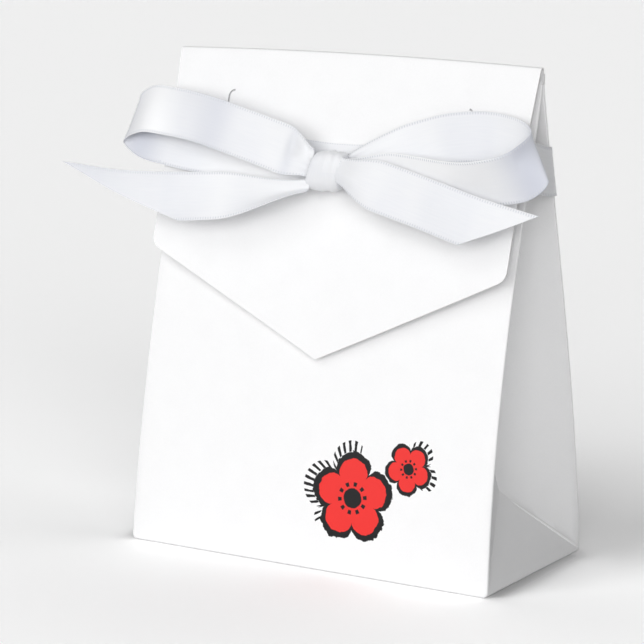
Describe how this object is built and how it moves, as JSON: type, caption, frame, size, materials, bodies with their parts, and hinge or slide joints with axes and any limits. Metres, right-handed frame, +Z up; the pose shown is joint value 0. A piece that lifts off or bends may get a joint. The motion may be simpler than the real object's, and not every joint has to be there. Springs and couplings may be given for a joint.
{
  "type": "favor box",
  "caption": "Tent-shaped white card favor box with folded-in sides and a pointed front flap, closed at the ridge and tied with a white satin ribbon bow.",
  "frame": {"origin": "middle of the base on the table", "axes": "+Z up, +X to the right seen from the front, and the flap and bow face -Y"},
  "size_m": [0.1384, 0.051, 0.1275],
  "materials": {
    "card": "smooth white card",
    "satin": "satin"
  },
  "bodies": {
    "box": {"base_panel": "card", "base_flap_left": "card", "base_flap_right": "card", "back_panel": "card", "gusset_triangle_left": "card", "gusset_triangle_right": "card", "gusset_back_left": "card", "gusset_back_right": "card", "ridge_fold": "card"},
    "front": {"front_panel": "card", "gusset_front_left": "card", "gusset_front_right": "card", "glue_tab_left": "card", "glue_tab_right": "card"},
    "flap": {"flap": "card"},
    "ribbon": {"ribbon_band": "satin", "ribbon_knot": "satin", "ribbon_loop_left": "satin", "ribbon_loop_right": "satin", "ribbon_tail_left": "satin", "ribbon_tail_right": "satin"}
  },
  "joints": [
    {"name": "flap_hinge", "type": "hinge", "parent": "box", "child": "flap", "pos_m": [0, 0.0002, 0.1268], "axis": [-1, 0, 0], "range_deg": [0, 150]},
    {"name": "mouth_hinge", "type": "hinge", "parent": "box", "child": "front", "pos_m": [0, -0.0255, 0], "axis": [1, 0, 0], "range_deg": [0, 4.5]},
    {"name": "ribbon_lift", "type": "slide", "parent": "box", "child": "ribbon", "axis": [0, -0.1736, 0.9848], "range_m": [0, 0.1625]}
  ],
  "couplings": [
    {"joint": "mouth_hinge", "follows": "flap_hinge", "ratio": 0.03},
    {"joint": "ribbon_lift", "follows": "flap_hinge", "m_per_rad": 0.062}
  ]
}
